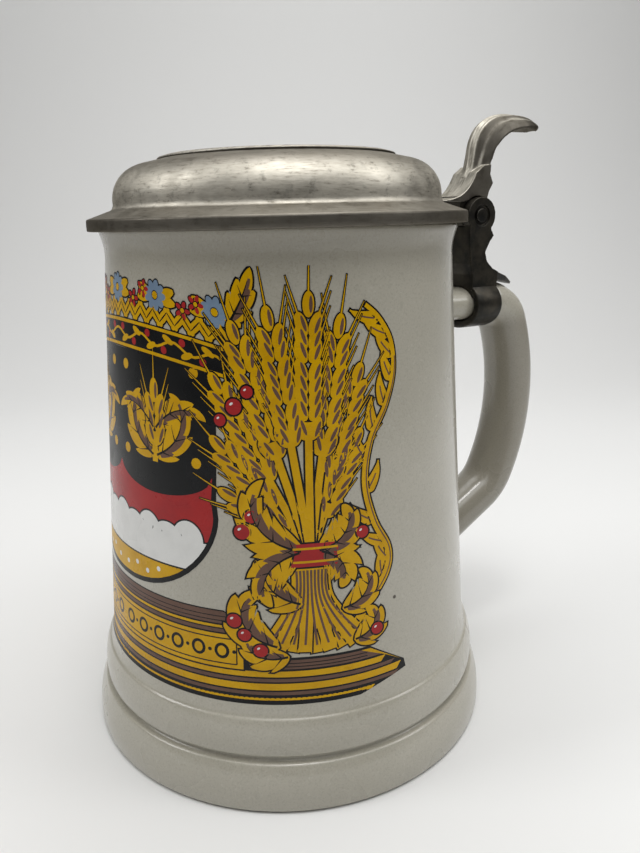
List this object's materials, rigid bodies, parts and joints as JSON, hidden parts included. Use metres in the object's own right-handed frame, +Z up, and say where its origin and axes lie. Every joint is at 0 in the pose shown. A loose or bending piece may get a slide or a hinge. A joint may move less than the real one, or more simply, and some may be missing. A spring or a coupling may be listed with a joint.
{
  "type": "beer stein",
  "caption": "Tapered stoneware drinking mug with a loop handle and a domed metal lid that swings open on a strap-mounted hinge, worked by a curled thumblift.",
  "frame": {"origin": "centre of the foot's resting plane, on the mug's vertical axis", "axes": "+Z up along the mug's axis, +X towards the handle, +Y to the left of someone facing the handle from outside; the lid's hinge line runs along Y"},
  "size_m": [0.1421, 0.1076, 0.1582],
  "materials": {
    "stoneware": "glossy warm grey salt glaze with fine specks",
    "enamel": "glossy fired enamel transfer",
    "pewter": "satin turned pewter with light tarnish",
    "dark_pewter": "dark patinated pewter",
    "steel": "plain drawn steel"
  },
  "bodies": {
    "mug": {"mug_body": "stoneware", "handle": "stoneware", "front_transfer": "enamel", "hinge_shank": "dark_pewter", "handle_strap": "dark_pewter", "hinge_pin": "steel", "pin_cap_front": "dark_pewter", "pin_cap_back": "dark_pewter"},
    "lid": {"lid": "pewter", "lid_medallion": "pewter", "lid_arm": "dark_pewter", "thumblift": "pewter"}
  },
  "joints": [
    {"name": "lid_hinge", "type": "hinge", "parent": "mug", "child": "lid", "pos_m": [0.061, 0, 0.13], "axis": [0, 1, 0], "range_deg": [0, 93]}
  ]
}
